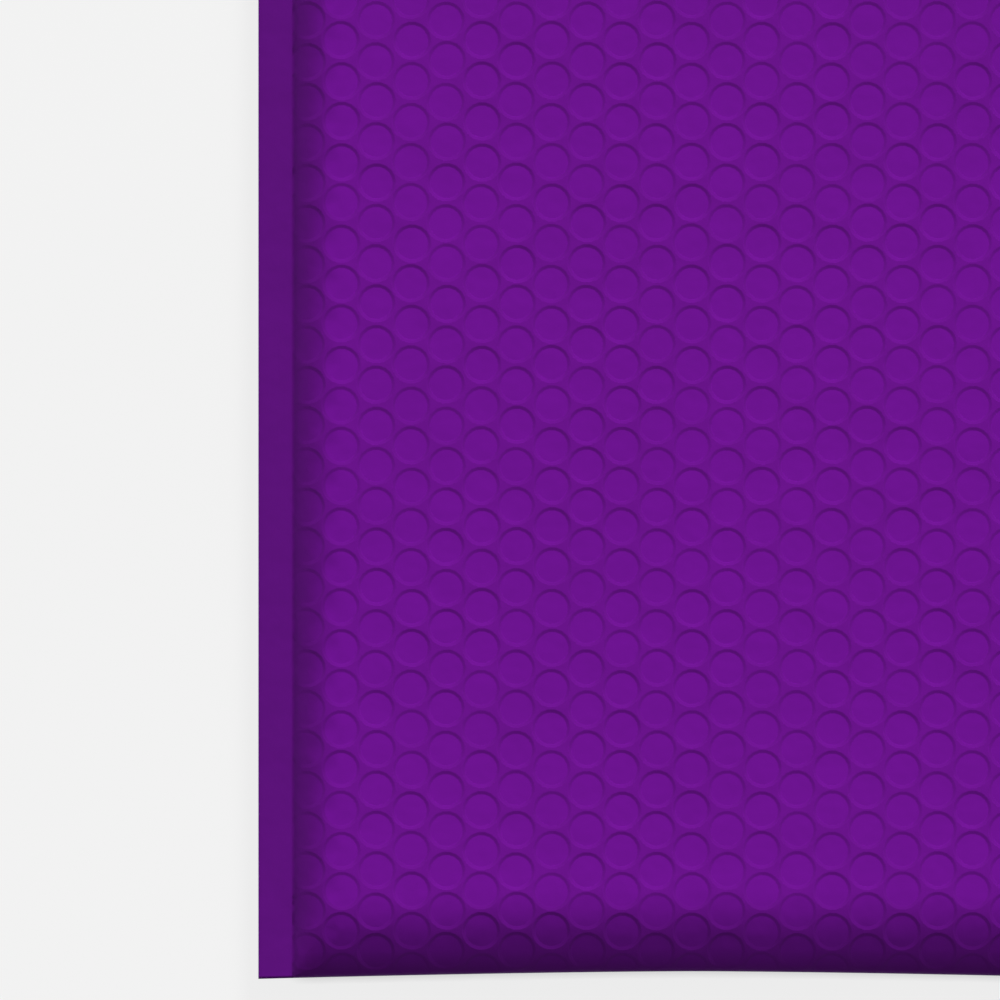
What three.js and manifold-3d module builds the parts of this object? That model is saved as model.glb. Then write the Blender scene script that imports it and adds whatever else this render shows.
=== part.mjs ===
// A padded mailing bag, lying on its back with its flap open.
// One web of film is folded at the bottom and welded up both sides. It holds a
// cushioning lining, and its back runs on past the mouth as a peel-and-stick flap.
// Millimetres, +Z up. X runs across the bag and Y from the bottom fold to the flap.
// The origin is under the middle of the whole bag, on the surface it lies on.
import * as THREE from "three";
import { mergeVertices } from "three/addons/utils/BufferGeometryUtils.js";
import Module from "manifold-3d";

// The bag's outline
const bagWidth = 241.3; // 9.5 in from edge to edge
const bagLength = 368.3; // 14.5 in from the bottom corners to the mouth
const flapLength = 42;
const sealWidth = 9.4; // welded band up each side
const foldRise = 2.1; // how far the middle of the bottom fold is drawn up

// What lies through its thickness, from outside in
const sealThickness = 1;
const filmThickness = 0.8; // film and the bubble sheet's skin welded to it
const flapThickness = 0.6;
const liningGap = 0.3; // between the film and the lining
const liningThickness = 3;
const pocketGap = 5.2; // free height inside the empty bag

// How the pads run out to the welds and the fold
const shoulderWidth = 13; // from a weld to the full thickness
const foldReach = 24; // from the bottom fold to the full thickness
const noseShare = 0.3; // part of the thickness that the rounded fold itself has
const noseLength = 2.2;

// Bubbles, in columns that run up the bag, every other one half a pitch higher
const bubblePitch = 11.16;
const bubbleDip = 0.35;
const firstColumn = 14; // middle of the first column, from the bag's left edge
const firstRow = 2.7; // middle of the lowest row, from the bottom corners
const mouthBand = 9; // plain film below the mouth
const liningSetback = 5; // the lining ends this far below the mouth

// The closing strip on the flap, under its peel-off tape
const tapeWidth = 16;
const adhesiveWidth = 10;
const stripThickness = 0.3;
const tapeMargin = 3; // from the flap's free edge
const tapeInset = 2; // from the bag's side edges
const flapLevelRoom = 2; // flat flap kept beside the tape

const fullThickness = pocketGap + 2 * (liningThickness + liningGap + filmThickness);
const midHeight = fullThickness / 2;
const fullRise = midHeight - sealThickness / 2;
const shoulderEnd = sealWidth + shoulderWidth;
const flapDrop = flapLength - tapeMargin - tapeWidth - flapLevelRoom;
const flapEnd = bagLength + flapLength;
const pocketDepth = filmThickness + liningGap + liningThickness;
const thinEdge = 0.15; // half the thickness that a cavity's sharp edge starts with

// The row and column steps of the bubbles' corner points
const columnGap = (bubblePitch * Math.sqrt(3)) / 2;
const rowGap = bubblePitch / 2;
const pointGap = (columnGap * 2) / 3;

const noseStops = [0, 0.32, 1];
const shoulderStops = [0, 0.12, 0.28, 0.48, 0.72, 1];
const foldStops = [0.7, 2.2, 5.5, 10, 16];
const flapStops = [0, 0.25, 0.5, 0.75, 1];
const archSteps = 8;

const unit = (x) => Math.min(1, Math.max(0, x));
const easeOut = (x) => 1 - (1 - unit(x)) ** 2;
const easeBoth = (x) => unit(x) ** 2 * (3 - 2 * unit(x));
const roundOut = (x) => Math.sqrt(easeOut(x));

function sideRamp(u) {
  const fromSeal = Math.min(u, bagWidth - u) - sealWidth;
  return easeOut(fromSeal / shoulderWidth);
}

function foldRamp(t) {
  return noseShare * roundOut(t / noseLength) + (1 - noseShare) * easeOut(t / foldReach);
}

// The bottom fold's height above its corners, drawn up as the pads fill the bag
function foldEdge(u) {
  const fromMiddle = Math.abs((2 * u) / bagWidth - 1);
  return foldRise * (1 - fromMiddle ** 1.5);
}

// Half the thickness at a point, for the outside or for a skin set in from it
function halfHeight(u, v, inset = 0) {
  const fold = foldRamp(v - foldEdge(u) - inset);
  return sealThickness / 2 + fullRise * sideRamp(u) * fold - inset;
}

// Finds where a rising function reaches a value
function crossing(rising, value, low, high) {
  for (let i = 0; i < 40; i++) {
    const middle = (low + high) / 2;
    if (rising(middle) < value) low = middle;
    else high = middle;
  }
  return high;
}

// Triangles between two lines of points, each in order along its key
function zip(lineA, lineB, key, flip, out) {
  let i = 0;
  let j = 0;
  while (i < lineA.length - 1 || j < lineB.length - 1) {
    const a = lineA[i];
    const b = lineB[j];
    const nextA = lineA[i + 1];
    const nextB = lineB[j + 1];
    const stepA = !nextB || (nextA && key(nextA) <= key(nextB));
    const apex = stepA ? nextA : nextB;
    out.push(flip ? [a, apex, b] : [a, b, apex]);
    if (stepA) i++;
    else j++;
  }
}

const acrossKey = (p) => p.x;
const alongKey = (p) => p.y - p.z * 1e-3; // the mouth's upright wall counts as a step
const firstOf = (rows) => rows.map((row) => row[0]);
const lastOf = (rows) => rows.map((row) => row[row.length - 1]);

function geometryOf(triangles) {
  const points = triangles.flat().flatMap((p) => [p.x, p.y, p.z]);
  const loose = new THREE.BufferGeometry();
  loose.setAttribute("position", new THREE.Float32BufferAttribute(points, 3));
  return mergeVertices(loose, 1e-4);
}

// A closed skin from rows of points over the top and rows under the bottom
function closedSkin(upperRows, lowerRows) {
  const out = [];
  for (let i = 1; i < upperRows.length; i++) {
    zip(upperRows[i - 1], upperRows[i], acrossKey, true, out);
  }
  for (let i = 1; i < lowerRows.length; i++) {
    zip(lowerRows[i - 1], lowerRows[i], acrossKey, false, out);
  }
  zip(upperRows[0], lowerRows[0], acrossKey, false, out);
  zip(upperRows.at(-1), lowerRows.at(-1), acrossKey, true, out);
  zip(firstOf(upperRows), firstOf(lowerRows), alongKey, true, out);
  zip(lastOf(upperRows), lastOf(lowerRows), alongKey, false, out);
  return geometryOf(out);
}

const wasm = await Module();
wasm.setup();

function solidOf(geometry) {
  return new wasm.Manifold(
    new wasm.Mesh({
      numProp: 3,
      vertProperties: geometry.attributes.position.array,
      triVerts: new Uint32Array(geometry.index.array),
    }),
  );
}

function geometryFrom(solid) {
  const mesh = solid.getMesh();
  const geometry = new THREE.BufferGeometry();
  geometry.setAttribute("position", new THREE.BufferAttribute(mesh.vertProperties, 3));
  geometry.setIndex(new THREE.BufferAttribute(mesh.triVerts, 1));
  return geometry;
}

const point = (u, v, z) => new THREE.Vector3(u, v, z);

// Stops across the bag: its edges, both welds and both shoulders
function plainStops() {
  const left = shoulderStops.map((s) => sealWidth + s * shoulderWidth);
  const right = left.map((u) => bagWidth - u).reverse();
  return [0, ...left, ...right, bagWidth];
}

// Stops across a row of bubbles: the welds' inner lines, and each bubble's corners and middle
function bubbleStops(row) {
  const odd = Math.abs(row % 2);
  const start = firstColumn + (odd ? 0 : columnGap / 3);
  const clear = 0.15 * pointGap;
  const first = Math.ceil((sealWidth + clear - start) / pointGap);
  const stops = [{ u: 0, dip: 0 }, { u: sealWidth, dip: 0 }];
  for (let n = first; start + n * pointGap < bagWidth - sealWidth - clear; n++) {
    const isMiddle = (n - (odd ? 0 : 1)) % 3 === 0;
    stops.push({ u: start + n * pointGap, dip: isMiddle ? bubbleDip : 0 });
  }
  stops.push({ u: bagWidth - sealWidth, dip: 0 }, { u: bagWidth, dip: 0 });
  return stops;
}

// One face of the bag from the bottom fold to the mouth; side is 1 for the front, -1 for the back
function padRows(side) {
  const rows = [];
  for (const share of noseStops) {
    const t = share * noseLength;
    rows.push(
      bubbleStops(0).map(({ u }) => {
        const v = foldEdge(u) + t;
        return point(u, v, midHeight + side * halfHeight(u, v));
      }),
    );
  }
  const lowest = foldRise + noseLength + rowGap / 2;
  const start = Math.ceil((lowest - firstRow) / rowGap);
  const mouthBandStart = bagLength - mouthBand;
  for (let i = start; firstRow + i * rowGap < mouthBandStart - rowGap / 2; i++) {
    const v = firstRow + i * rowGap;
    rows.push(
      bubbleStops(i).map(({ u, dip }) => {
        const half = halfHeight(u, v) - dip * sideRamp(u);
        return point(u, v, midHeight + side * half);
      }),
    );
  }
  for (const v of [mouthBandStart, bagLength]) {
    rows.push(plainStops().map((u) => point(u, v, midHeight + side * halfHeight(u, v))));
  }
  return rows;
}

// The flap's rows, lifted from its underside. Its edges come down from the welds to lie flat.
function flapRows(lift) {
  const stops = flapStops.map((share) => bagLength + share * flapDrop);
  return [...stops, flapEnd].map((v) =>
    plainStops().map((u) => {
      const back = midHeight - halfHeight(u, bagLength);
      const down = 1 - easeBoth((v - bagLength) / flapDrop);
      return point(u, v, back * down + lift);
    }),
  );
}

// The inside of the bag, set in from its outside, with both of its thin sides on the welds
function hollow(inset, end) {
  const value = (thinEdge + inset - sealThickness / 2) / fullRise;
  const start = crossing(foldRamp, value * 1.02, 0, foldReach);
  const rowsOf = (side) => {
    const rowAt = (t, v, middles) => {
      const side0 = crossing(easeOut, value / foldRamp(t - inset), 0, 1);
      const left = shoulderStops.map((s) => {
        return sealWidth + (side0 + s * (1 - side0)) * shoulderWidth;
      });
      const right = left.map((u) => bagWidth - u).reverse();
      const across = [...left, ...middles, ...right];
      return across.map((u) => {
        const y = v ?? foldEdge(u) + t;
        return point(u, y, midHeight + side * halfHeight(u, y, inset));
      });
    };
    const middles = [];
    for (let i = 1; i < archSteps; i++) {
      middles.push(THREE.MathUtils.lerp(shoulderEnd, bagWidth - shoulderEnd, i / archSteps));
    }
    const rows = [start, ...foldStops].map((t) => rowAt(t + inset, null, middles));
    const level = foldReach + inset;
    rows.push(rowAt(level, foldRise + level, []));
    rows.push(rowAt(level, end, []));
    return rows;
  };
  return solidOf(closedSkin(rowsOf(1), rowsOf(-1)));
}

function makeOuterFilm() {
  const upper = [...padRows(1), ...flapRows(flapThickness)];
  const lower = [...padRows(-1), ...flapRows(0).slice(1)];
  const past = bagLength + flapLevelRoom;
  return geometryFrom(solidOf(closedSkin(upper, lower)).subtract(hollow(filmThickness, past)));
}

function makeLining() {
  const end = bagLength - liningSetback;
  const outside = hollow(filmThickness + liningGap, end);
  return geometryFrom(outside.subtract(hollow(pocketDepth, bagLength)));
}

function strip(width, base) {
  const geometry = new THREE.BoxGeometry(bagWidth - 2 * tapeInset, width, stripThickness);
  const middle = flapEnd - tapeMargin - tapeWidth / 2;
  geometry.translate(bagWidth / 2, middle, base + stripThickness / 2);
  return geometry;
}

const filmMaterial = new THREE.MeshStandardMaterial({ color: 0x691490, roughness: 0.5 });
const liningMaterial = new THREE.MeshStandardMaterial({ color: 0xd6d3da, roughness: 0.4 });
const adhesiveMaterial = new THREE.MeshStandardMaterial({ color: 0xcfc7a8, roughness: 0.3 });
const tapeMaterial = new THREE.MeshStandardMaterial({ color: 0xe6e8ea, roughness: 0.35 });

const bag = new THREE.Group();
bag.position.set(-bagWidth / 2, -flapEnd / 2, 0);

function addPiece(name, geometry, material) {
  const mesh = new THREE.Mesh(geometry, material);
  mesh.name = name;
  bag.add(mesh);
}

addPiece("outer_film", makeOuterFilm(), filmMaterial);
addPiece("bubble_lining", makeLining(), liningMaterial);
addPiece("adhesive_strip", strip(adhesiveWidth, flapThickness), adhesiveMaterial);
addPiece("release_liner", strip(tapeWidth, flapThickness + stripThickness), tapeMaterial);

const group = new THREE.Group();
group.add(bag);

export default group;
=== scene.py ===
import math

import bmesh
import bpy
import numpy as np
from mathutils import Matrix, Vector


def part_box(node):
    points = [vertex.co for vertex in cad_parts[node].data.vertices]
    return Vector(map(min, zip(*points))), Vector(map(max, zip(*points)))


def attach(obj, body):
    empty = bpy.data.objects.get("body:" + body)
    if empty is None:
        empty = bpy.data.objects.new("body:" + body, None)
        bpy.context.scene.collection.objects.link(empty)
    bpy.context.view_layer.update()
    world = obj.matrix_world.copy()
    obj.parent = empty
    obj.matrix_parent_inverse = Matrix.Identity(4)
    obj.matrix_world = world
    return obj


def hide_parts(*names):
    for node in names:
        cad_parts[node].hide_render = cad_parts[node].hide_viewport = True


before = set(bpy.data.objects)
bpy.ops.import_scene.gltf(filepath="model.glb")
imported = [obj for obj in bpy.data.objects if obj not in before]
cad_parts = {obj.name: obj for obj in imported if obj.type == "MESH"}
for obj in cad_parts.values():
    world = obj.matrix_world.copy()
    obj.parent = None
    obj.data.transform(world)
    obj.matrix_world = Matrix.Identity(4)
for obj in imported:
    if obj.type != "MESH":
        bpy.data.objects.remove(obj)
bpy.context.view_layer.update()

# lengths below are millimetres, u across the mailer and v up from its bottom corners
mm = 0.001

filmLow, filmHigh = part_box("outer_film")
bagWidth = (filmHigh.x - filmLow.x) / mm
wholeLength = (filmHigh.y - filmLow.y) / mm
bagThickness = filmHigh.z / mm
midHeight = bagThickness / 2

bag = {
    "flapLength": 42.0,
    "sealWidth": 9.4,
    "shoulderWidth": 13.4,   # from a weld to the full thickness
    "foldReach": 22.0,       # from the fold to the full thickness
    "foldRise": 2.1,         # the middle of the fold is drawn up by this much
    "foldBow": 1.5,          # how much of that rise is kept towards the sides
    "fullness": 0.85,        # of the pad's curve, rounder when lower
    "noseShare": 0.06,       # of the full thickness, in the round nose of the fold
    "noseLength": 2.2,
    "filmThickness": 0.4,
    "mouthBand": 9.0,        # plain film under the mouth
    "liningSetback": 5.0,
    "flapDrop": 21.0,        # the flap's edges come down to lie flat over this length
    "trimWidth": 1.2,        # the cut edge of a weld thins over this width
    "trimShare": 0.45,       # and by this much
}

bubbles = {
    "pitch": 11.16,
    "firstColumn": 13.35,    # middle of the first column, from the left edge
    "firstRow": 2.3,         # middle of the lowest bubble, from the bottom corners
    "printRadius": 4.85,     # middle of the rim that shows through the film
    "rimWidth": 0.95,
    "printDepth": 0.135,
    "printSides": 18,
    "weldFade": 8.0,         # the prints come up over this much from a weld
    "foldFade": 3.0,         # and over this much from the fold
    "depthSpread": 0.2,      # how much one print differs from the next
    "sway": 0.2,             # how far one sits out of line
    "domeRadius": 4.75,
    "domeHeight": 3.3,
    "domeSides": 12,
    "seed": 11,
}

mouth = wholeLength - bag["flapLength"]
columnGap = bubbles["pitch"] * math.sqrt(3) / 2
fullRise = midHeight - bag["filmThickness"]

near = 0.03          # points this close to a line are on it
onClosed = 0.002     # and this close to where a shell closes, on both its faces
touching = 0.01      # corners of neighbouring cells this close are one
nothing = 1e-6


def easeOut(x):
    return 1 - (1 - np.clip(x, 0, 1)) ** 2


def easeBoth(x):
    x = np.clip(x, 0, 1)
    return x * x * (3 - 2 * x)


def foldEdge(u):
    fromMiddle = np.abs(2 * np.asarray(u) / bagWidth - 1)
    return bag["foldRise"] * (1 - np.minimum(fromMiddle, 1) ** bag["foldBow"])


def swell(x):
    return np.sin(np.clip(x, 0, 1) * math.pi / 2) ** bag["fullness"]


def sideRamp(u, inset=0.0):
    fromSeal = np.minimum(u, bagWidth - u) - bag["sealWidth"] - inset
    return swell(fromSeal / bag["shoulderWidth"])


def foldRamp(t):
    nose = np.sqrt(easeOut(t / bag["noseLength"]))
    return bag["noseShare"] * nose + (1 - bag["noseShare"]) * swell(t / bag["foldReach"])


def padRise(side, fold):      # the lesser of the two ramps, rounded where they meet in the corners
    together = np.sqrt(side ** 2 + fold ** 2 - (side * fold) ** 2)
    return side * fold / np.maximum(together, nothing)


def outsideHalf(u, v):      # half the thickness of the whole mailer
    t = v - foldEdge(u)
    skin = bag["filmThickness"] * np.sqrt(easeOut(t / bag["filmThickness"]))
    edge = 1 - bag["trimShare"] * (1 - easeOut(np.minimum(u, bagWidth - u) / bag["trimWidth"]))
    return skin * edge + fullRise * padRise(sideRamp(u), foldRamp(t))


def insideHalf(u, v, inset=0.0, lower=0.0):      # half the room inside the film, or inside the lining
    t = v - foldEdge(u) - bag["filmThickness"] - inset
    return (fullRise - lower) * padRise(sideRamp(u, inset), foldRamp(t))


# One cell of the bubble sheet: a hexagon with rings in it, whose height is its share of the full depth
def makeCell(name, rings, creases, sides):
    bm = bmesh.new()
    inside = bm.verts.layers.float.new("inside")      # 1 where it moves with a bubble that sits out of line
    half = bubbles["pitch"] / 2
    loops = []
    outline = []
    for i in range(sides):
        angle = 2 * math.pi * i / sides
        reach = half / math.cos(angle % (math.pi / 3) - math.pi / 6)
        outline.append(bm.verts.new((reach * math.cos(angle), reach * math.sin(angle), 0)))
    loops.append(outline)
    for radius, share in rings:
        ring = []
        for i in range(sides):
            angle = 2 * math.pi * i / sides
            ring.append(bm.verts.new((radius * math.cos(angle), radius * math.sin(angle), share)))
        loops.append(ring)
    middle = bm.verts.new((0, 0, 1))
    for v in (v for ring in loops[1:] + [[middle]] for v in ring):
        v[inside] = 1
    for outer, inner in zip(loops, loops[1:]):
        for i in range(sides):
            j = (i + 1) % sides
            bm.faces.new((outer[i], outer[j], inner[j], inner[i]))
    for i in range(sides):
        bm.faces.new((loops[-1][i], loops[-1][(i + 1) % sides], middle))
    for ring in creases:
        for i in range(sides):
            bm.edges.get((loops[ring][i], loops[ring][i - 1])).smooth = False
    mesh = bpy.data.meshes.new(name)
    bm.to_mesh(mesh)
    bm.free()
    return mesh


# Geometry Nodes: the cell on every point of a honeycomb, each with its own place and depth to draw on
def makeFieldTree():
    tree = bpy.data.node_groups.new("bubbleField", "GeometryNodeTree")
    face = tree.interface
    face.new_socket("Geometry", in_out="INPUT", socket_type="NodeSocketGeometry")
    for name, kind in (("Pitch", "Float"), ("Columns", "Int"), ("Rows", "Int"),
                       ("Sway", "Float"), ("Spread", "Float"), ("Seed", "Int"), ("Finish", "Material")):
        face.new_socket(name, in_out="INPUT", socket_type="NodeSocket" + kind)
    face.new_socket("Geometry", in_out="OUTPUT", socket_type="NodeSocketGeometry")
    nodes, links = tree.nodes, tree.links

    def add(kind, **settings):
        node = nodes.new(kind)
        for key, value in settings.items():
            setattr(node, key, value)
        return node

    def maths(operation, a, b):
        node = add("ShaderNodeMath", operation=operation)
        for socket, value in zip(node.inputs, (a, b)):
            if isinstance(value, (int, float)):
                socket.default_value = value
            else:
                links.new(value, socket)
        return node.outputs[0]

    given = add("NodeGroupInput").outputs
    pitch = given["Pitch"]
    across = maths("MULTIPLY", pitch, math.sqrt(3) / 2)
    width = maths("MULTIPLY", across, maths("SUBTRACT", given["Columns"], 1))
    height = maths("MULTIPLY", pitch, maths("SUBTRACT", given["Rows"], 1))
    grid = add("GeometryNodeMeshGrid")
    links.new(width, grid.inputs["Size X"])
    links.new(height, grid.inputs["Size Y"])
    links.new(given["Columns"], grid.inputs["Vertices X"])
    links.new(given["Rows"], grid.inputs["Vertices Y"])

    place = add("ShaderNodeSeparateXYZ")
    links.new(add("GeometryNodeInputPosition").outputs[0], place.inputs[0])
    fromLeft = maths("ADD", place.outputs["X"], maths("MULTIPLY", width, 0.5))
    column = maths("ROUND", maths("DIVIDE", fromLeft, across), 0)
    stagger = maths("MULTIPLY", maths("MODULO", column, 2), maths("MULTIPLY", pitch, 0.5))
    shift = add("ShaderNodeCombineXYZ")
    links.new(stagger, shift.inputs["Y"])
    honeycomb = add("GeometryNodeSetPosition")
    links.new(grid.outputs["Mesh"], honeycomb.inputs["Geometry"])
    links.new(shift.outputs[0], honeycomb.inputs["Offset"])

    copies = add("GeometryNodeInstanceOnPoints")
    links.new(honeycomb.outputs[0], copies.inputs["Points"])
    links.new(given["Geometry"], copies.inputs["Instance"])
    own = add("FunctionNodeRandomValue", data_type="FLOAT_VECTOR")      # sideways, lengthways, depth
    limits = [s for s in own.inputs if s.type == "VECTOR"]
    for limit, sign in zip(limits, (-1, 1)):
        reach = maths("MULTIPLY", given["Sway"], sign)
        corner = add("ShaderNodeCombineXYZ")
        links.new(reach, corner.inputs["X"])
        links.new(reach, corner.inputs["Y"])
        links.new(maths("ADD", 1, maths("MULTIPLY", given["Spread"], sign)), corner.inputs["Z"])
        links.new(corner.outputs[0], limit)
    links.new(given["Seed"], own.inputs["Seed"])
    keep = add("GeometryNodeStoreNamedAttribute", data_type="FLOAT_VECTOR", domain="INSTANCE")
    keep.inputs["Name"].default_value = "own"
    links.new(copies.outputs[0], keep.inputs["Geometry"])
    links.new(next(s for s in own.outputs if s.type == "VECTOR"), keep.inputs["Value"])

    real = add("GeometryNodeRealizeInstances")
    links.new(keep.outputs[0], real.inputs[0])
    joined = add("GeometryNodeMergeByDistance")
    joined.inputs["Distance"].default_value = touching
    links.new(real.outputs[0], joined.inputs["Geometry"])
    finish = add("GeometryNodeSetMaterial")
    links.new(joined.outputs[0], finish.inputs["Geometry"])
    links.new(given["Finish"], finish.inputs["Material"])
    links.new(finish.outputs[0], add("NodeGroupOutput").inputs[0])
    return tree


fieldTree = makeFieldTree()


def makeField(name, cell, material, spread, popLine=math.inf):
    # one column and one row more than show, at each side
    columns = math.ceil((bagWidth - bubbles["firstColumn"]) / columnGap) + 2
    rows = math.ceil(mouth / bubbles["pitch"]) + 3
    piece = bpy.data.objects.new(name, cell)
    bpy.context.scene.collection.objects.link(piece)
    field = piece.modifiers.new("bubbleField", "NODES")
    field.node_group = fieldTree
    values = {"Pitch": bubbles["pitch"], "Columns": columns, "Rows": rows, "Sway": bubbles["sway"],
              "Spread": spread, "Seed": bubbles["seed"], "Finish": material}
    for socket in fieldTree.interface.items_tree:
        if socket.in_out == "INPUT" and socket.name in values:
            field[socket.identifier] = values[socket.name]
    deps = bpy.context.evaluated_depsgraph_get()
    shown = piece.evaluated_get(deps)
    mesh = bpy.data.meshes.new_from_object(shown, preserve_all_data_layers=True, depsgraph=deps)
    piece.modifiers.remove(field)
    bpy.data.objects.remove(piece)
    bm = bmesh.new()
    bm.from_mesh(mesh)
    bpy.data.meshes.remove(mesh)
    # the grid is centred, so its columns and rows go to their places on the mailer
    du = bubbles["firstColumn"] + columnGap * (columns - 3) / 2
    dv = bubbles["firstRow"] + bubbles["pitch"] * (rows - 3) / 2
    own = bm.verts.layers.float_vector["own"]
    inside = bm.verts.layers.float["inside"]
    for v in bm.verts:
        dx, dy, depth = v[own]
        column = round((v.co.x + du - bubbles["firstColumn"]) / columnGap)
        start = bubbles["firstRow"] + (column + 1) % 2 * bubbles["pitch"] / 2
        middle = start + round((v.co.y + dv - start) / bubbles["pitch"]) * bubbles["pitch"]
        v.co.x += du + dx * v[inside]
        v.co.y += dv + dy * v[inside]
        whole = middle + bubbles["domeRadius"] < popLine      # a bubble that was cut open lies flat
        v.co.z *= depth * whole
    print(name, "field", columns, "x", rows)
    return bm


def cut(bm, axis, place, drop=0):      # drop is 1 to lose what lies beyond, -1 what lies below
    normal = [0, 0, 0]
    normal[axis] = 1
    spot = [0, 0, 0]
    spot[axis] = place
    everything = bm.verts[:] + bm.edges[:] + bm.faces[:]
    bmesh.ops.bisect_plane(bm, geom=everything, dist=clean["snap"], plane_co=spot, plane_no=normal,
                           clear_outer=drop > 0, clear_inner=drop < 0)


def rim(bm, axis, place):      # the open edges that lie on one line
    return [e for e in bm.edges if e.is_boundary and all(abs(v.co[axis] - place) < near for v in e.verts)]


def grow(bm, axis, fromPlace, toPlaces):      # plain strips out from an open edge
    edges = rim(bm, axis, fromPlace)
    for place in toPlaces:
        made = bmesh.ops.extrude_edge_only(bm, edges=edges)["geom"]
        for v in made:
            if isinstance(v, bmesh.types.BMVert):
                v.co[axis] = place
                v.co.z = 0
        edges = rim(bm, axis, place)


# finer faces where the pad curves, and columns of points out to the cut edge of a weld
foldCuts = (0.12, 0.45, 1.0, 2.0, 3.8, 6.5, 10.0, 14.5)
shoulderCuts = (0.8, 2.2, 4.6, 8.0)
weldColumns = (bag["sealWidth"] - 0.35, 1.2, 0.5, 0)

clean = {
    "snap": 0.02,        # a cut takes points this close to it instead of making new ones
    "sliver": 0.06,      # points closer than this become one
    "pull": 0.15,        # how far a sliver may have pulled a point off an outer line
    "topPull": 0.4,      # and off the level top of the film
    "same": 0.001,
    "level": 0.01,
}


# Slivers are closed up, and what they pulled off an outer line goes back on it
def cleanEdges(bm, lines):
    bmesh.ops.remove_doubles(bm, verts=bm.verts, dist=clean["sliver"])
    for v in bm.verts:
        for axis, place in lines:
            if v.is_boundary and abs(v.co[axis] - place) < clean["pull"]:
                v.co[axis] = place
                v.co.z = 0 if axis else v.co.z
    bmesh.ops.remove_doubles(bm, verts=bm.verts, dist=clean["same"])
    across = [e for e in bm.edges if not e.is_boundary and all(v.is_boundary for v in e.verts)]
    bmesh.ops.bisect_edges(bm, edges=across, cuts=1)


# Cuts a field to its outline: between the sides, up to a level top, and down to the curved fold
def trimField(bm, left, top, low, weldStops=()):
    sides = [(0, left), (0, bagWidth - left)]
    cut(bm, 0, left, -1)
    cut(bm, 0, bagWidth - left, 1)
    cut(bm, 1, top, 1)
    for share in shoulderCuts:
        cut(bm, 0, left + share)
        cut(bm, 0, bagWidth - left - share)
    cleanEdges(bm, sides + [(1, top)])
    for v in bm.verts:
        v.co.y -= float(foldEdge(v.co.x))
    cut(bm, 1, low, -1)
    for share in foldCuts:
        cut(bm, 1, low + share)
    cleanEdges(bm, sides + [(1, low)])
    if weldStops:
        grow(bm, 0, left, weldStops)
        grow(bm, 0, bagWidth - left, [bagWidth - u for u in weldStops])
    reach = clean["topPull"] if weldStops else clean["level"]
    for v in bm.verts:
        v.co.y += float(foldEdge(v.co.x))
        if v.is_boundary and abs(v.co.y - top) < reach:
            v.co.y = top


# Points (u, v, share), faces wound to face up, and creased edges of a trimmed field
def readField(bm):
    bm.verts.index_update()
    bm.normal_update()
    points = np.array([v.co[:] for v in bm.verts])
    faces = []
    for f in bm.faces:
        loop = [v.index for v in f.verts]
        faces.append(loop if f.normal.z > 0 else loop[::-1])
    creases = [(e.verts[0].index, e.verts[1].index) for e in bm.edges if not e.smooth]
    bm.free()
    return points, faces, creases


# A shell being put together from points and faces
class Shell:
    def __init__(self):
        self.points = []
        self.faces = []
        self.creases = []

    def add(self, points):      # returns the new points' numbers
        start = len(self.points)
        self.points.extend(tuple(float(x) for x in p) for p in points)
        return list(range(start, start + len(points)))

    def band(self, lineA, lineB, flip=False):      # quads between two lines of the same count
        for i in range(len(lineA) - 1):
            loop = [lineA[i], lineA[i + 1], lineB[i + 1], lineB[i]]
            loop = [p for k, p in enumerate(loop) if p != loop[k - 1]]
            if len(loop) > 2:
                self.faces.append(loop[::-1] if flip else loop)

    def finish(self, name, material, sharpFrom=35):
        mesh = bpy.data.meshes.new(name)
        points = np.array(self.points)
        points[:, 0] -= bagWidth / 2
        points[:, 1] -= wholeLength / 2
        mesh.from_pydata((points * mm).tolist(), [], self.faces)
        bm = bmesh.new()
        bm.from_mesh(mesh)
        openEdges = sum(not e.is_manifold for e in bm.edges)
        print(name, len(bm.verts), "points", sum(len(f.verts) - 2 for f in bm.faces), "triangles",
              openEdges, "open edges", round(bm.calc_volume(signed=True) * 1e9), "mm3")
        bm.free()
        mesh.materials.append(material)
        mesh.polygons.foreach_set("use_smooth", [True] * len(mesh.polygons))
        mesh.set_sharp_from_angle(angle=math.radians(sharpFrom))
        edges = {frozenset(e.vertices): e for e in mesh.edges}
        for pair in self.creases:
            edges[frozenset(pair)].use_edge_sharp = True
        piece = bpy.data.objects.new(name, mesh)
        bpy.context.scene.collection.objects.link(piece)
        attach(piece, "root")
        return piece


# Puts a trimmed field on both faces of the mailer, joined where it is closed, such as along the fold
def wrapField(shell, points, half, closed):
    z = np.where(closed, 0, half)
    front = shell.add(np.column_stack([points[:, 0], points[:, 1], midHeight + z]))
    back = np.array(front)
    rest = np.flatnonzero(~closed)
    back[rest] = shell.add(np.column_stack([points[rest, 0], points[rest, 1], midHeight - z[rest]]))
    return np.array(front), back


def lineOf(points, axis, place):      # field points on a line, in order along it
    found = np.flatnonzero(np.abs(points[:, axis] - place) < near)
    return found[np.argsort(points[found, 1 - axis])]


bendRows = (bag["foldReach"], 20, 14, 9, 5.5, 3, 1.6, 0.8, 0.3, 0)      # from the full thickness to the fold


def innerRows(low, end):      # level rows near the mouth, then rows that follow the curved fold
    bend = [low + x for x in bendRows]
    level = [end, end - bag["mouthBand"], end / 2, low + bag["foldReach"] + 2 * bag["foldRise"]]
    return [lambda u, v=v: np.full(len(u), float(v)) for v in level] + [
        lambda u, t=t: foldEdge(u) + t for t in bend]


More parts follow.
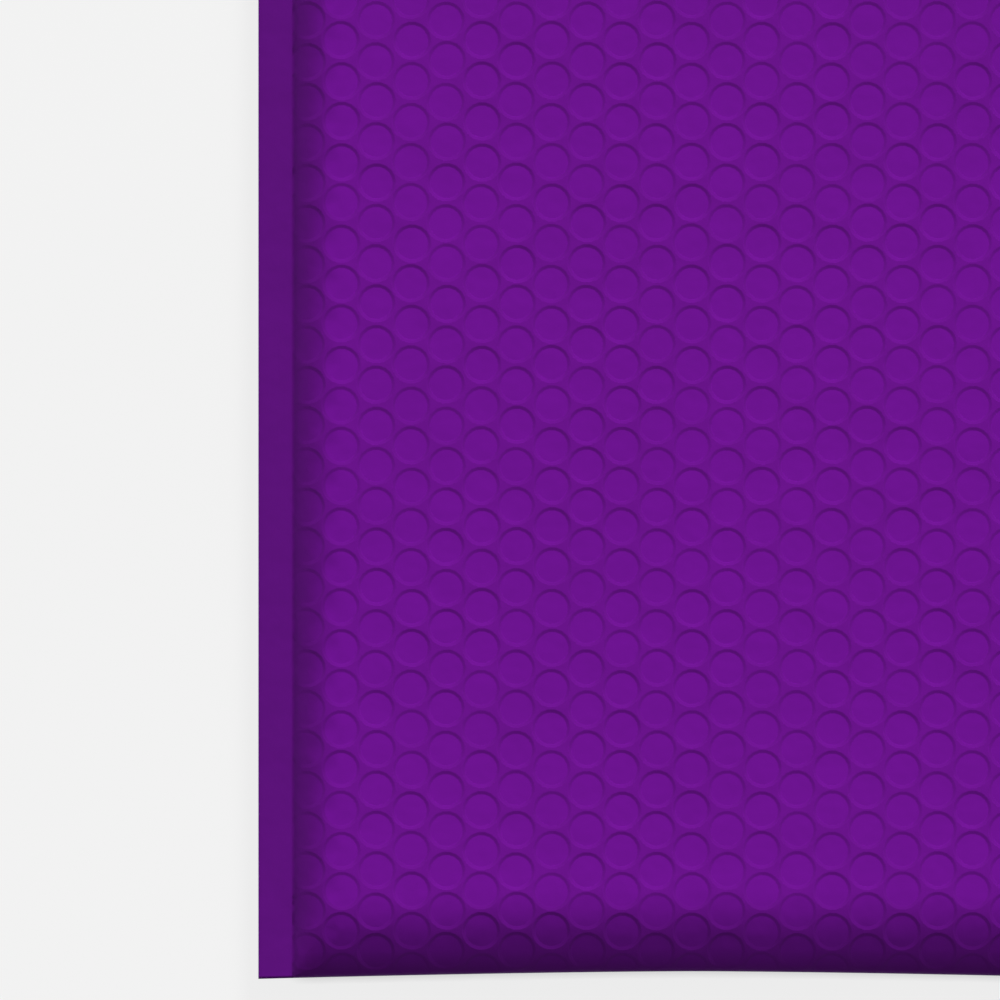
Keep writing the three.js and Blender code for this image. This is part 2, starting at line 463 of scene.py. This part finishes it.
# A plain skin over both faces of a hollow, in rows from the mouth down to the fold
def addSkin(shell, us, rows, half, flip, firstFront=None, firstBack=None):
    front, back = firstFront, firstBack
    last = len(rows) - 1
    for i, row in enumerate(rows):
        if i == 0 and front is not None:
            continue
        v = row(us)
        z = half(us, v)
        if i == last:
            z = np.zeros(len(us))
        newFront = shell.add(np.column_stack([us, v, midHeight + z]))
        newBack = [p if z[k] < nothing else None for k, p in enumerate(newFront)]
        lower = [k for k, p in enumerate(newBack) if p is None]
        made = shell.add(np.column_stack([us[lower], v[lower], midHeight - z[lower]])) if lower else []
        for k, p in zip(lower, made):
            newBack[k] = p
        if i:
            shell.band(front, newFront, flip)
            shell.band(back, newBack, not flip)
        else:
            firstFront, firstBack = newFront, newBack
        front, back = newFront, newBack
    return firstFront, firstBack


flap = {
    "rows": (0.12, 0.25, 0.38, 0.5, 0.62, 0.75, 0.88, 1),      # shares of the way down
    "edgeRows": (3, 0.4, 0),                                   # from its free edge
    "edgeShare": 0.5,                                          # of the film's thickness at that edge
    "bandStep": 1.5,                                           # of the plain band's first and last row
}


def makeFilm(material):
    r, half = bubbles["printRadius"], bubbles["rimWidth"] / 2
    cell = makeCell("printCell", ((r + half, 0), (r - half, 1)), (1, 2), bubbles["printSides"])
    bm = makeField("outerFilm", cell, material, bubbles["depthSpread"])
    top = mouth - bag["mouthBand"]
    trimField(bm, bag["sealWidth"], top, 0, weldColumns)
    grow(bm, 1, top, (top + flap["bandStep"], mouth - flap["bandStep"], mouth))
    points, faces, creases = readField(bm)
    u, v, share = points.T
    t = v - foldEdge(u)
    fromWeld = np.minimum(u, bagWidth - u) - bag["sealWidth"]
    fade = easeBoth(t / bubbles["foldFade"]) * easeBoth(fromWeld / bubbles["weldFade"])
    depth = bubbles["printDepth"] * share * fade
    shell = Shell()
    front, back = wrapField(shell, points, outsideHalf(u, v) - depth, np.abs(t) < onClosed)
    shell.faces += [[front[i] for i in f] for f in faces]
    shell.faces += [[back[i] for i in f[::-1]] for f in faces]
    shell.creases += [(side[a], side[b]) for side in (front, back) for a, b in creases]

    row = lineOf(points, 1, mouth)
    across = u[row]
    inside = insideHalf(across, np.full(len(row), mouth))
    under = midHeight - outsideHalf(across, np.full(len(row), mouth))
    skin = midHeight - inside - under
    innerFront = shell.add(np.column_stack([across, np.full(len(row), mouth), midHeight + inside]))
    innerBack = list(innerFront)
    room = np.flatnonzero(inside > nothing)
    made = shell.add(np.column_stack([across[room], np.full(len(room), mouth), midHeight - inside[room]]))
    for k, p in zip(room, made):
        innerBack[k] = p
    shell.band(front[row], innerFront)

    pocket = slice(room[0] - 1, room[-1] + 2)
    rows = innerRows(bag["filmThickness"], mouth)
    addSkin(shell, across[pocket], rows, insideHalf, False, innerFront[pocket], innerBack[pocket])

    drop = bag["flapDrop"]
    lines = [mouth + drop * x for x in flap["rows"]] + [wholeLength - x for x in flap["edgeRows"]]
    lowLine, highLine = [back[i] for i in row], innerBack
    lowEnds, highEnds = [(lowLine[0], lowLine[-1])], [(highLine[0], highLine[-1])]
    for y in lines:
        down = 1 - easeBoth((y - mouth) / drop)
        base = under * down
        edge = flap["edgeShare"] if y == wholeLength else 1
        newLow = shell.add(np.column_stack([across, np.full(len(row), y), base]))
        newHigh = shell.add(np.column_stack([across, np.full(len(row), y), base + skin * edge]))
        shell.band(lowLine, newLow, True)
        shell.band(highLine, newHigh)
        lowLine, highLine = newLow, newHigh
        lowEnds.append((newLow[0], newLow[-1]))
        highEnds.append((newHigh[0], newHigh[-1]))
    shell.band(highLine, lowLine)

    for side, place in enumerate((0.0, bagWidth)):
        edge = lineOf(points, 0, place)
        a, d = front[edge], back[edge]
        shell.band(a[:-1], d[:-1], bool(side))
        corner = [a[-2], a[-1], highEnds[0][side], d[-1], d[-2]]
        shell.faces.append(corner[::-1] if side else corner)
        shell.band([p[side] for p in highEnds], [p[side] for p in lowEnds], bool(side))

    film = shell.finish("outerFilm", material, sharpFrom=55)
    tones = np.zeros(len(shell.points), np.float32)
    tone = np.clip(share / (1 - bubbles["depthSpread"]), 0, 1)      # the same on shallow and deep prints
    tones[front] = tone
    tones[back] = tone
    film.data.attributes.new("bubblePrint", "FLOAT", "POINT").data.foreach_set("value", tones)
    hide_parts("outer_film")
    return film


cushion = {
    "gap": 0.4,              # from the film's inside at the welds and the fold
    "web": 0.4,              # the sheet's width there
    "clearance": 0.1,        # from the film where the pad is thickest
    "thickness": 0.3,
    "rings": ((1, 0), (0.93, 0.6), (0.74, 0.9)),      # share of a dome's radius and of its height
    "spread": 0.06,          # how much one dome's height differs from the next
}


def makeLining(material):
    gap = cushion["gap"]
    web = cushion["web"]
    lower = cushion["clearance"] + cushion["thickness"]
    left = bag["sealWidth"] + gap + web
    end = mouth - bag["liningSetback"]
    rings = [(share * bubbles["domeRadius"], height) for share, height in cushion["rings"]]
    cell = makeCell("domeCell", rings, (1,), bubbles["domeSides"])
    bm = makeField("bubbleLining", cell, material, cushion["spread"], end)
    low = bag["filmThickness"] + gap + web
    trimField(bm, left, end, low)
    points, faces, creases = readField(bm)
    u, v, share = points.T
    t = v - foldEdge(u)

    def outerHalf(a, b):
        return insideHalf(a, b, gap, cushion["clearance"])

    room = insideHalf(u, v, gap + web, lower)
    dome = room * share * bubbles["domeHeight"] / (fullRise - lower)
    fromSides = np.abs(np.minimum(u, bagWidth - u) - left)
    closed = (np.abs(t - low) < onClosed) | (fromSides < onClosed)
    shell = Shell()
    front, back = wrapField(shell, points, room - dome, closed)
    shell.faces += [[front[i] for i in f[::-1]] for f in faces]
    shell.faces += [[back[i] for i in f] for f in faces]
    shell.creases += [(side[a], side[b]) for side in (front, back) for a, b in creases]

    row = lineOf(points, 1, end)
    across = np.concatenate([[bag["sealWidth"] + gap], u[row], [bagWidth - bag["sealWidth"] - gap]])
    rows = innerRows(bag["filmThickness"] + gap, end)
    outerFront, outerBack = addSkin(shell, across, rows, outerHalf, True)
    inFront, inBack = list(front[row]), list(back[row])
    shell.band(outerFront[1:-1], inFront)
    shell.band(inBack, outerBack[1:-1])
    shell.faces.append([outerFront[0], outerFront[1], inFront[0]])
    shell.faces.append([outerBack[0], inBack[0], outerBack[1]])
    shell.faces.append([outerFront[-2], outerFront[-1], inFront[-1]])
    shell.faces.append([inBack[-1], outerBack[-1], outerBack[-2]])
    lining = shell.finish("bubbleLining", material, sharpFrom=60)
    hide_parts("bubble_lining")
    return lining


strip = {
    "tapeWidth": 16.0,
    "adhesiveWidth": 10.0,
    "adhesiveHeight": 0.3,
    "tapeThickness": 0.12,
    "tapeMargin": 3.0,       # from the flap's free edge
    "sideInset": 2.0,
    "step": 3.0,             # of the grid along the strip
    "waves": (5.3, 9.7, 21.0),      # lengths of the wander of the adhesive's edges
    "wander": 0.25,
    "underGap": 0.005,       # between the film and the adhesive
    "lip": 0.02,             # height of the adhesive at its edges
    "adhesiveStops": (-1, -0.97, -0.9, -0.75, -0.4, 0, 0.4, 0.75, 0.9, 0.97, 1),
    "tapeStops": (-1, -0.98, -0.9, -0.82, -0.74, -0.66, -0.5, -0.25, 0,
                  0.25, 0.5, 0.66, 0.74, 0.82, 0.9, 0.98, 1),
    "overAdhesive": 0.05,    # the tape's underside above the adhesive
    "overFilm": 0.08,        # and above the film
    "bendStart": 0.1,        # from the adhesive's edge to where the tape goes down
    "flatEdge": 0.5,
    "edgeShare": 0.35,       # of the tape's thickness at its cut edges
    "ripples": ((0.03, 11.0, 0.4, 0), (0.02, 4.1, 0, 1.3)),      # height, length, slant and start
    "seed": 5,
}


# A closed strip across the flap, from its cross-section and a top and bottom height for each point
def makeStrip(name, material, stops, lowHeight, highHeight, wander):
    rng = np.random.default_rng(strip["seed"])
    count = int((bagWidth - 2 * strip["sideInset"]) / strip["step"])
    us = np.linspace(strip["sideInset"], bagWidth - strip["sideInset"], count)
    middle = wholeLength - strip["tapeMargin"] - strip["tapeWidth"] / 2
    waves = rng.uniform(0, 2 * math.pi, (2, len(strip["waves"])))
    shell = Shell()
    lows, highs = [], []
    for s in stops:
        sway = sum(np.sin(us / length + waves[int(s > 0), k]) for k, length in enumerate(strip["waves"]))
        vs = middle + s + wander * sway / len(strip["waves"]) * (abs(s) == abs(stops[0]))
        lows.append(shell.add(np.column_stack([us, vs, lowHeight(us, s)])))
        highs.append(shell.add(np.column_stack([us, vs, highHeight(us, s)])))
    for i in range(len(stops) - 1):
        shell.band(lows[i], lows[i + 1], True)
        shell.band(highs[i], highs[i + 1])
    shell.band(lows[0], highs[0])
    shell.band(highs[-1], lows[-1])
    for k in (0, -1):
        shell.band([r[k] for r in highs], [r[k] for r in lows], k == -1)
    return shell.finish(name, material)


def makeAdhesive(material):
    half = strip["adhesiveWidth"] / 2
    base = bag["filmThickness"] + strip["underGap"]
    stops = [half * x for x in strip["adhesiveStops"]]

    def bottom(us, s):
        return np.full(len(us), base)

    def top(us, s):
        mound = np.sqrt(max(0, 1 - (s / half) ** 4)) * (strip["adhesiveHeight"] - 2 * strip["lip"])
        return np.full(len(us), base + strip["lip"] + mound)

    piece = makeStrip("adhesiveStrip", material, stops, bottom, top, strip["wander"])
    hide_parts("adhesive_strip")
    return piece


def makeTape(material):
    half = strip["tapeWidth"] / 2
    stops = [half * x for x in strip["tapeStops"]]
    lifted = bag["filmThickness"] + strip["adhesiveHeight"] + strip["overAdhesive"]
    rested = bag["filmThickness"] + strip["overFilm"]
    bendStart = strip["adhesiveWidth"] / 2 + strip["bendStart"]
    bendEnd = half - strip["flatEdge"]

    def low(us, s):
        down = easeBoth((abs(s) - bendStart) / (bendEnd - bendStart))
        ripple = sum(height * np.sin(us / length + slant * s + start)
                     for height, length, slant, start in strip["ripples"])
        return lifted * (1 - down) + (rested + ripple) * down

    def high(us, s):
        return low(us, s) + strip["tapeThickness"] * (strip["edgeShare"] if abs(s) == half else 1)

    piece = makeStrip("releaseLiner", material, stops, low, high, 0)
    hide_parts("release_liner")
    return piece


# Materials. A noise is given by its scale and detail, a bump by its strength and its depth in metres
noiseSpan = (0.3, 0.7)      # most of a noise lies between these


def newMaterial(name):
    material = bpy.data.materials.new(name)
    material.use_nodes = True
    nodes = material.node_tree.nodes
    return material, nodes, material.node_tree.links, nodes["Principled BSDF"]


def noiseNode(nodes, links, place, scale, detail=3.0, roughness=0.5):
    noise = nodes.new("ShaderNodeTexNoise")
    noise.inputs["Scale"].default_value = scale
    noise.inputs["Detail"].default_value = detail
    noise.inputs["Roughness"].default_value = roughness
    links.new(place, noise.inputs["Vector"])
    return noise.outputs["Fac"]


def rangeNode(nodes, links, value, fromLow, fromHigh, toLow, toHigh, smooth=False):
    node = nodes.new("ShaderNodeMapRange")
    node.interpolation_type = "SMOOTHSTEP" if smooth else "LINEAR"
    numbers = {"From Min": fromLow, "From Max": fromHigh, "To Min": toLow, "To Max": toHigh}
    for name, number in numbers.items():
        node.inputs[name].default_value = number
    links.new(value, node.inputs["Value"])
    return node.outputs["Result"]


def mathNode(nodes, links, operation, a, b):
    node = nodes.new("ShaderNodeMath")
    node.operation = operation
    for socket, value in zip(node.inputs, (a, b)):
        if isinstance(value, (int, float)):
            socket.default_value = value
        else:
            links.new(value, socket)
    return node.outputs[0]


def mixColour(nodes, links, share, a, b):
    node = nodes.new("ShaderNodeMix")
    node.data_type = "RGBA"
    links.new(share, node.inputs["Factor"])
    for socket, value in ((node.inputs[6], a), (node.inputs[7], b)):
        if isinstance(value, tuple):
            socket.default_value = (*value, 1)
        else:
            links.new(value, socket)
    return node.outputs[2]


def bumpNode(nodes, links, height, strength, distance, before=None):
    bump = nodes.new("ShaderNodeBump")
    bump.inputs["Strength"].default_value = strength
    bump.inputs["Distance"].default_value = distance
    links.new(height, bump.inputs["Height"])
    if before is not None:
        links.new(before, bump.inputs["Normal"])
    return bump.outputs["Normal"]


filmLook = {
    "panel": (0.1365, 0.0030, 0.2520),
    "disc": (0.1470, 0.0030, 0.2760),
    # painted shade: the rims of the bubble prints are darker than the panel
    "rim": (0.1250, 0.0030, 0.2310),
    # painted shade on the pad's long edges, where they slope down to the welds
    "drawn": (0.1120, 0.0022, 0.2040),
    "drawnShare": 0.8,
    "drawnBand": (10.0, 4.0),      # in from a weld line, where the painted shade starts and is full
    # painted shade: the film is darker at the fold, where it turns under the mailer
    "fold": (0.0930, 0.0018, 0.1680),
    "foldShadeBand": 5.7,               # up from the middle of the fold, where its painted shade has faded
    # the weld band is darker: partly the sealed film's own tone, partly painted shade of the band lying low
    # beside the pad
    "weld": (0.1040, 0.0028, 0.1920),
    "weldBlend": (-0.1, 0.4),      # the weld's darker tone comes in between these, out from its line
    "mouthBlend": (-0.2, 0.2),     # and goes out between these, up from the mouth
    "cloud": 0.025,                # how much the film's tone comes and goes
    "cloudNoise": (38, 4),
    "roughness": (0.40, 0.52),
    "glossNoise": (160, 3),
    "glossSpan": (0.25, 0.75),
    "specular": 0.15,
    "slackNoise": (95, 2),
    "slackBump": (0.35, 0.0006),
    "drawStretch": 0.08,           # scale of the draw lines up the bag, as a share of that across it
    "drawNoise": (420, 2),
    "drawBump": (0.25, 0.00012),
    "grainNoise": (1900, 2, 0.6),
    "grainBump": (0.25, 0.00004),
}


def makeFilmMaterial():
    material, nodes, links, shader = newMaterial("purpleFilm")
    place = nodes.new("ShaderNodeTexCoord").outputs["Object"]
    axes = nodes.new("ShaderNodeSeparateXYZ")
    links.new(place, axes.inputs[0])
    outward = mathNode(nodes, links, "ABSOLUTE", axes.outputs["X"], 0)
    weldLine = bagWidth / 2 - bag["sealWidth"]
    weldFrom, weldTo = (weldLine + x for x in filmLook["weldBlend"])
    weld = rangeNode(nodes, links, outward, weldFrom * mm, weldTo * mm, 0, 1, True)
    mouthLine = mouth - wholeLength / 2
    mouthFrom, mouthTo = (mouthLine + x for x in filmLook["mouthBlend"])
    onBag = rangeNode(nodes, links, axes.outputs["Y"], mouthFrom * mm, mouthTo * mm, 1, 0)
    weld = mathNode(nodes, links, "MULTIPLY", weld, onBag)
    # painted shade: the film's colour is darker where it goes down over the pad's long edges towards the
    # welds
    drawnFrom, drawnTo = (weldLine - x for x in filmLook["drawnBand"])
    drawn = rangeNode(nodes, links, outward, drawnFrom * mm, drawnTo * mm, 0, filmLook["drawnShare"], True)
    prints = nodes.new("ShaderNodeAttribute")
    prints.attribute_name = "bubblePrint"
    colour = mixColour(nodes, links, prints.outputs["Fac"], filmLook["panel"], filmLook["disc"])
    # painted shade: a darker tone on the rim of each print, between its disc and the panel
    rimShade = mathNode(nodes, links, "SUBTRACT", 1, prints.outputs["Fac"])
    rimShade = mathNode(nodes, links, "MULTIPLY", rimShade, prints.outputs["Fac"])
    rimShade = rangeNode(nodes, links, rimShade, 0, 0.25, 0, 1)
    colour = mixColour(nodes, links, rimShade, colour, filmLook["rim"])
    colour = mixColour(nodes, links, drawn, colour, filmLook["drawn"])
    # painted shade: darker towards the fold, where the film turns under the mailer
    foldLine = bag["foldRise"] - wholeLength / 2
    foldShadeEnd = foldLine + filmLook["foldShadeBand"]
    foldShade = rangeNode(nodes, links, axes.outputs["Y"], foldLine * mm, foldShadeEnd * mm, 1, 0)
    colour = mixColour(nodes, links, foldShade, colour, filmLook["fold"])
    # the weld's darker tone, partly the sealed film's own and partly painted shade
    colour = mixColour(nodes, links, weld, colour, filmLook["weld"])
    cloud = noiseNode(nodes, links, place, *filmLook["cloudNoise"])
    cloud = rangeNode(nodes, links, cloud, *noiseSpan, 1 - filmLook["cloud"], 1 + filmLook["cloud"])
    hue = nodes.new("ShaderNodeHueSaturation")
    links.new(cloud, hue.inputs["Value"])
    links.new(colour, hue.inputs["Color"])
    links.new(hue.outputs["Color"], shader.inputs["Base Color"])
    gloss = noiseNode(nodes, links, place, *filmLook["glossNoise"])
    gloss = rangeNode(nodes, links, gloss, *filmLook["glossSpan"], *filmLook["roughness"])
    links.new(gloss, shader.inputs["Roughness"])
    shader.inputs["Specular IOR Level"].default_value = filmLook["specular"]
    # fine skin of blown film, with long faint draw lines up the bag
    stretch = nodes.new("ShaderNodeMapping")
    stretch.inputs["Scale"].default_value = (1, filmLook["drawStretch"], 1)
    links.new(place, stretch.inputs["Vector"])
    lines = noiseNode(nodes, links, stretch.outputs[0], *filmLook["drawNoise"])
    grain = noiseNode(nodes, links, place, *filmLook["grainNoise"])
    slack = noiseNode(nodes, links, place, *filmLook["slackNoise"])
    normal = bumpNode(nodes, links, slack, *filmLook["slackBump"])
    normal = bumpNode(nodes, links, lines, *filmLook["drawBump"], normal)
    normal = bumpNode(nodes, links, grain, *filmLook["grainBump"], normal)
    links.new(normal, shader.inputs["Normal"])
    return material


liningLook = {      # the purple film shows through the sheet
    "deep": (0.31, 0.20, 0.41),
    "pale": (0.40, 0.28, 0.50),
    "hazeNoise": (60, 3),
    "roughness": (0.16, 0.28),
    "glossNoise": (240, 2),
    "wrinkleNoise": (380, 3),
    "wrinkleBump": (0.3, 0.00025),
}


def makeBubbleMaterial():
    material, nodes, links, shader = newMaterial("clearBubbleFilm")
    place = nodes.new("ShaderNodeTexCoord").outputs["Object"]
    haze = noiseNode(nodes, links, place, *liningLook["hazeNoise"])
    haze = rangeNode(nodes, links, haze, *noiseSpan, 0, 1)
    colour = mixColour(nodes, links, haze, liningLook["deep"], liningLook["pale"])
    links.new(colour, shader.inputs["Base Color"])
    gloss = noiseNode(nodes, links, place, *liningLook["glossNoise"])
    gloss = rangeNode(nodes, links, gloss, *noiseSpan, *liningLook["roughness"])
    links.new(gloss, shader.inputs["Roughness"])
    wrinkle = noiseNode(nodes, links, place, *liningLook["wrinkleNoise"])
    normal = bumpNode(nodes, links, wrinkle, *liningLook["wrinkleBump"])
    links.new(normal, shader.inputs["Normal"])
    return material


adhesiveLook = {
    "deep": (0.60, 0.53, 0.34),
    "pale": (0.68, 0.62, 0.44),
    "cloudNoise": (130, 3),
    "roughness": 0.22,
    "rippleNoise": (500, 2),
    "rippleBump": (0.4, 0.0002),
}


def makeAdhesiveMaterial():
    material, nodes, links, shader = newMaterial("hotMelt")
    place = nodes.new("ShaderNodeTexCoord").outputs["Object"]
    cloud = noiseNode(nodes, links, place, *adhesiveLook["cloudNoise"])
    cloud = rangeNode(nodes, links, cloud, *noiseSpan, 0, 1)
    colour = mixColour(nodes, links, cloud, adhesiveLook["deep"], adhesiveLook["pale"])
    links.new(colour, shader.inputs["Base Color"])
    shader.inputs["Roughness"].default_value = adhesiveLook["roughness"]
    ripples = noiseNode(nodes, links, place, *adhesiveLook["rippleNoise"])
    normal = bumpNode(nodes, links, ripples, *adhesiveLook["rippleBump"])
    links.new(normal, shader.inputs["Normal"])
    return material


tapeLook = {
    "deep": (0.74, 0.75, 0.78),
    "pale": (0.80, 0.81, 0.83),
    "cloudNoise": (45, 3),
    "roughness": (0.24, 0.34),
    "glossNoise": (300, 2),
    "creaseStretch": 0.15,
    "creaseNoise": (260, 2),
    "creaseBump": (0.35, 0.0002),
}


def makeTapeMaterial():
    material, nodes, links, shader = newMaterial("peelTape")
    place = nodes.new("ShaderNodeTexCoord").outputs["Object"]
    cloud = noiseNode(nodes, links, place, *tapeLook["cloudNoise"])
    cloud = rangeNode(nodes, links, cloud, *noiseSpan, 0, 1)
    colour = mixColour(nodes, links, cloud, tapeLook["deep"], tapeLook["pale"])
    links.new(colour, shader.inputs["Base Color"])
    gloss = noiseNode(nodes, links, place, *tapeLook["glossNoise"])
    gloss = rangeNode(nodes, links, gloss, *noiseSpan, *tapeLook["roughness"])
    links.new(gloss, shader.inputs["Roughness"])
    stretch = nodes.new("ShaderNodeMapping")
    stretch.inputs["Scale"].default_value = (1, tapeLook["creaseStretch"], 1)
    links.new(place, stretch.inputs["Vector"])
    creases = noiseNode(nodes, links, stretch.outputs[0], *tapeLook["creaseNoise"])
    normal = bumpNode(nodes, links, creases, *tapeLook["creaseBump"])
    links.new(normal, shader.inputs["Normal"])
    return material


# The room: floor, light and camera
view = {
    "pixelsPerMm": 3.618,
    "frame": 1000,
    "leftEdge": 258.4,       # pixels from the left to the mailer's edge
    "bottomCorner": 978.9,   # pixels from the top to its bottom corner
    "distance": 2.2,         # metres above the mailer
    "sensor": 36,
    "clipEnd": 50,
}

light = {
    "keyTurn": 14,           # degrees from straight up the mailer, towards the right
    "keyHeight": 19,         # degrees above the floor
    "keySpread": 13,
    "roomShare": 0.36,       # of the light on a level face, the rest is the key's
    "roomSlope": 0.85,       # how much brighter the room is on the key's side
    "floor": 0.888,
    "floorCloud": 0.004,
    "floorNoise": (6, 2),
    "floorRoughness": 0.9,
    "floorSpecular": 0.1,
    "floorHalf": 4,          # metres
    "floorDrop": 0.03,       # below the mailer
    "floorGlow": 0.93,       # of the floor's paleness that the long shadow doesn't take away
    "shadeReach": 6.4,       # of the soft shade under the fold
}


def makeCamera():
    width = view["frame"] / view["pixelsPerMm"] * mm
    middle = view["frame"] / 2
    x = (middle - view["leftEdge"]) / view["pixelsPerMm"] - bagWidth / 2
    y = (view["bottomCorner"] - middle) / view["pixelsPerMm"] - wholeLength / 2
    data = bpy.data.cameras.new("camera")
    data.sensor_width = view["sensor"]
    data.lens = view["sensor"] * view["distance"] / width
    camera = bpy.data.objects.new("camera", data)
    camera.location = (x * mm, y * mm, view["distance"] + midHeight * mm)
    data.clip_end = view["clipEnd"]
    bpy.context.scene.collection.objects.link(camera)
    bpy.context.scene.camera = camera


def makeLights():
    height, turn = math.radians(light["keyHeight"]), math.radians(light["keyTurn"])
    sun = bpy.data.lights.new("key", "SUN")
    sun.energy = math.pi * (1 - light["roomShare"]) / math.sin(height)
    sun.angle = math.radians(light["keySpread"])
    lamp = bpy.data.objects.new("key", sun)
    lamp.visible_glossy = False      # the film is matt, and shows no glare of the lamp from any side
    lamp.rotation_euler = (math.pi / 2 - height, 0, math.pi - turn)
    bpy.context.scene.collection.objects.link(lamp)
    world = bpy.data.worlds.new("studio")
    bpy.context.scene.world = world
    world.use_nodes = True
    nodes, links = world.node_tree.nodes, world.node_tree.links
    towards = nodes.new("ShaderNodeVectorMath")
    towards.operation = "DOT_PRODUCT"
    links.new(nodes.new("ShaderNodeTexCoord").outputs["Object"], towards.inputs[0])
    towards.inputs[1].default_value = (math.sin(turn), math.cos(turn), 0)
    tilt = light["roomSlope"]
    slope = rangeNode(nodes, links, towards.outputs["Value"], -1, 1, 1 - tilt, 1 + tilt)
    strength = mathNode(nodes, links, "MULTIPLY", slope, light["roomShare"])
    links.new(strength, nodes["Background"].inputs["Strength"])
    nodes["Background"].inputs["Color"].default_value = (1, 1, 1, 1)


def makeFloor():
    material, nodes, links, shader = newMaterial("paleFloor")
    place = nodes.new("ShaderNodeTexCoord").outputs["Object"]
    cloud = noiseNode(nodes, links, place, *light["floorNoise"])
    cloud = rangeNode(nodes, links, cloud, *noiseSpan, 0, 1)
    deep = light["floor"] - light["floorCloud"]
    pale = light["floor"] + light["floorCloud"]
    colour = mixColour(nodes, links, cloud, (deep,) * 3, (pale,) * 3)
    links.new(colour, shader.inputs["Base Color"])
    shader.inputs["Roughness"].default_value = light["floorRoughness"]
    shader.inputs["Specular IOR Level"].default_value = light["floorSpecular"]
    glow = nodes.new("ShaderNodeEmission")
    links.new(colour, glow.inputs["Color"])
    shade = nodes.new("ShaderNodeAmbientOcclusion")
    shade.inputs["Distance"].default_value = light["shadeReach"] * mm
    links.new(shade.outputs["AO"], glow.inputs["Strength"])
    path = nodes.new("ShaderNodeLightPath").outputs
    seen = mathNode(nodes, links, "MAXIMUM", path["Is Camera Ray"], path["Is Glossy Ray"])
    seen = mathNode(nodes, links, "MAXIMUM", seen, path["Is Transmission Ray"])
    either = nodes.new("ShaderNodeMixShader")
    links.new(mathNode(nodes, links, "MULTIPLY", seen, light["floorGlow"]), either.inputs[0])
    links.new(shader.outputs[0], either.inputs[1])
    links.new(glow.outputs[0], either.inputs[2])
    links.new(either.outputs[0], nodes["Material Output"].inputs["Surface"])
    bm = bmesh.new()
    bmesh.ops.create_grid(bm, x_segments=8, y_segments=8, size=light["floorHalf"])
    mesh = bpy.data.meshes.new("floor")
    bm.to_mesh(mesh)
    bm.free()
    mesh.transform(Matrix.Translation((0, 0, -light["floorDrop"] * mm)))
    mesh.materials.append(material)
    floor = bpy.data.objects.new("floor", mesh)
    bpy.context.scene.collection.objects.link(floor)


film = makeFilm(makeFilmMaterial())
print("film made")
lining = makeLining(makeBubbleMaterial())
print("lining made")
adhesive = makeAdhesive(makeAdhesiveMaterial())
tape = makeTape(makeTapeMaterial())
print("closing strip made")

makeFloor()
makeLights()
makeCamera()
bpy.context.scene.view_settings.view_transform = "Standard"
print("room made")
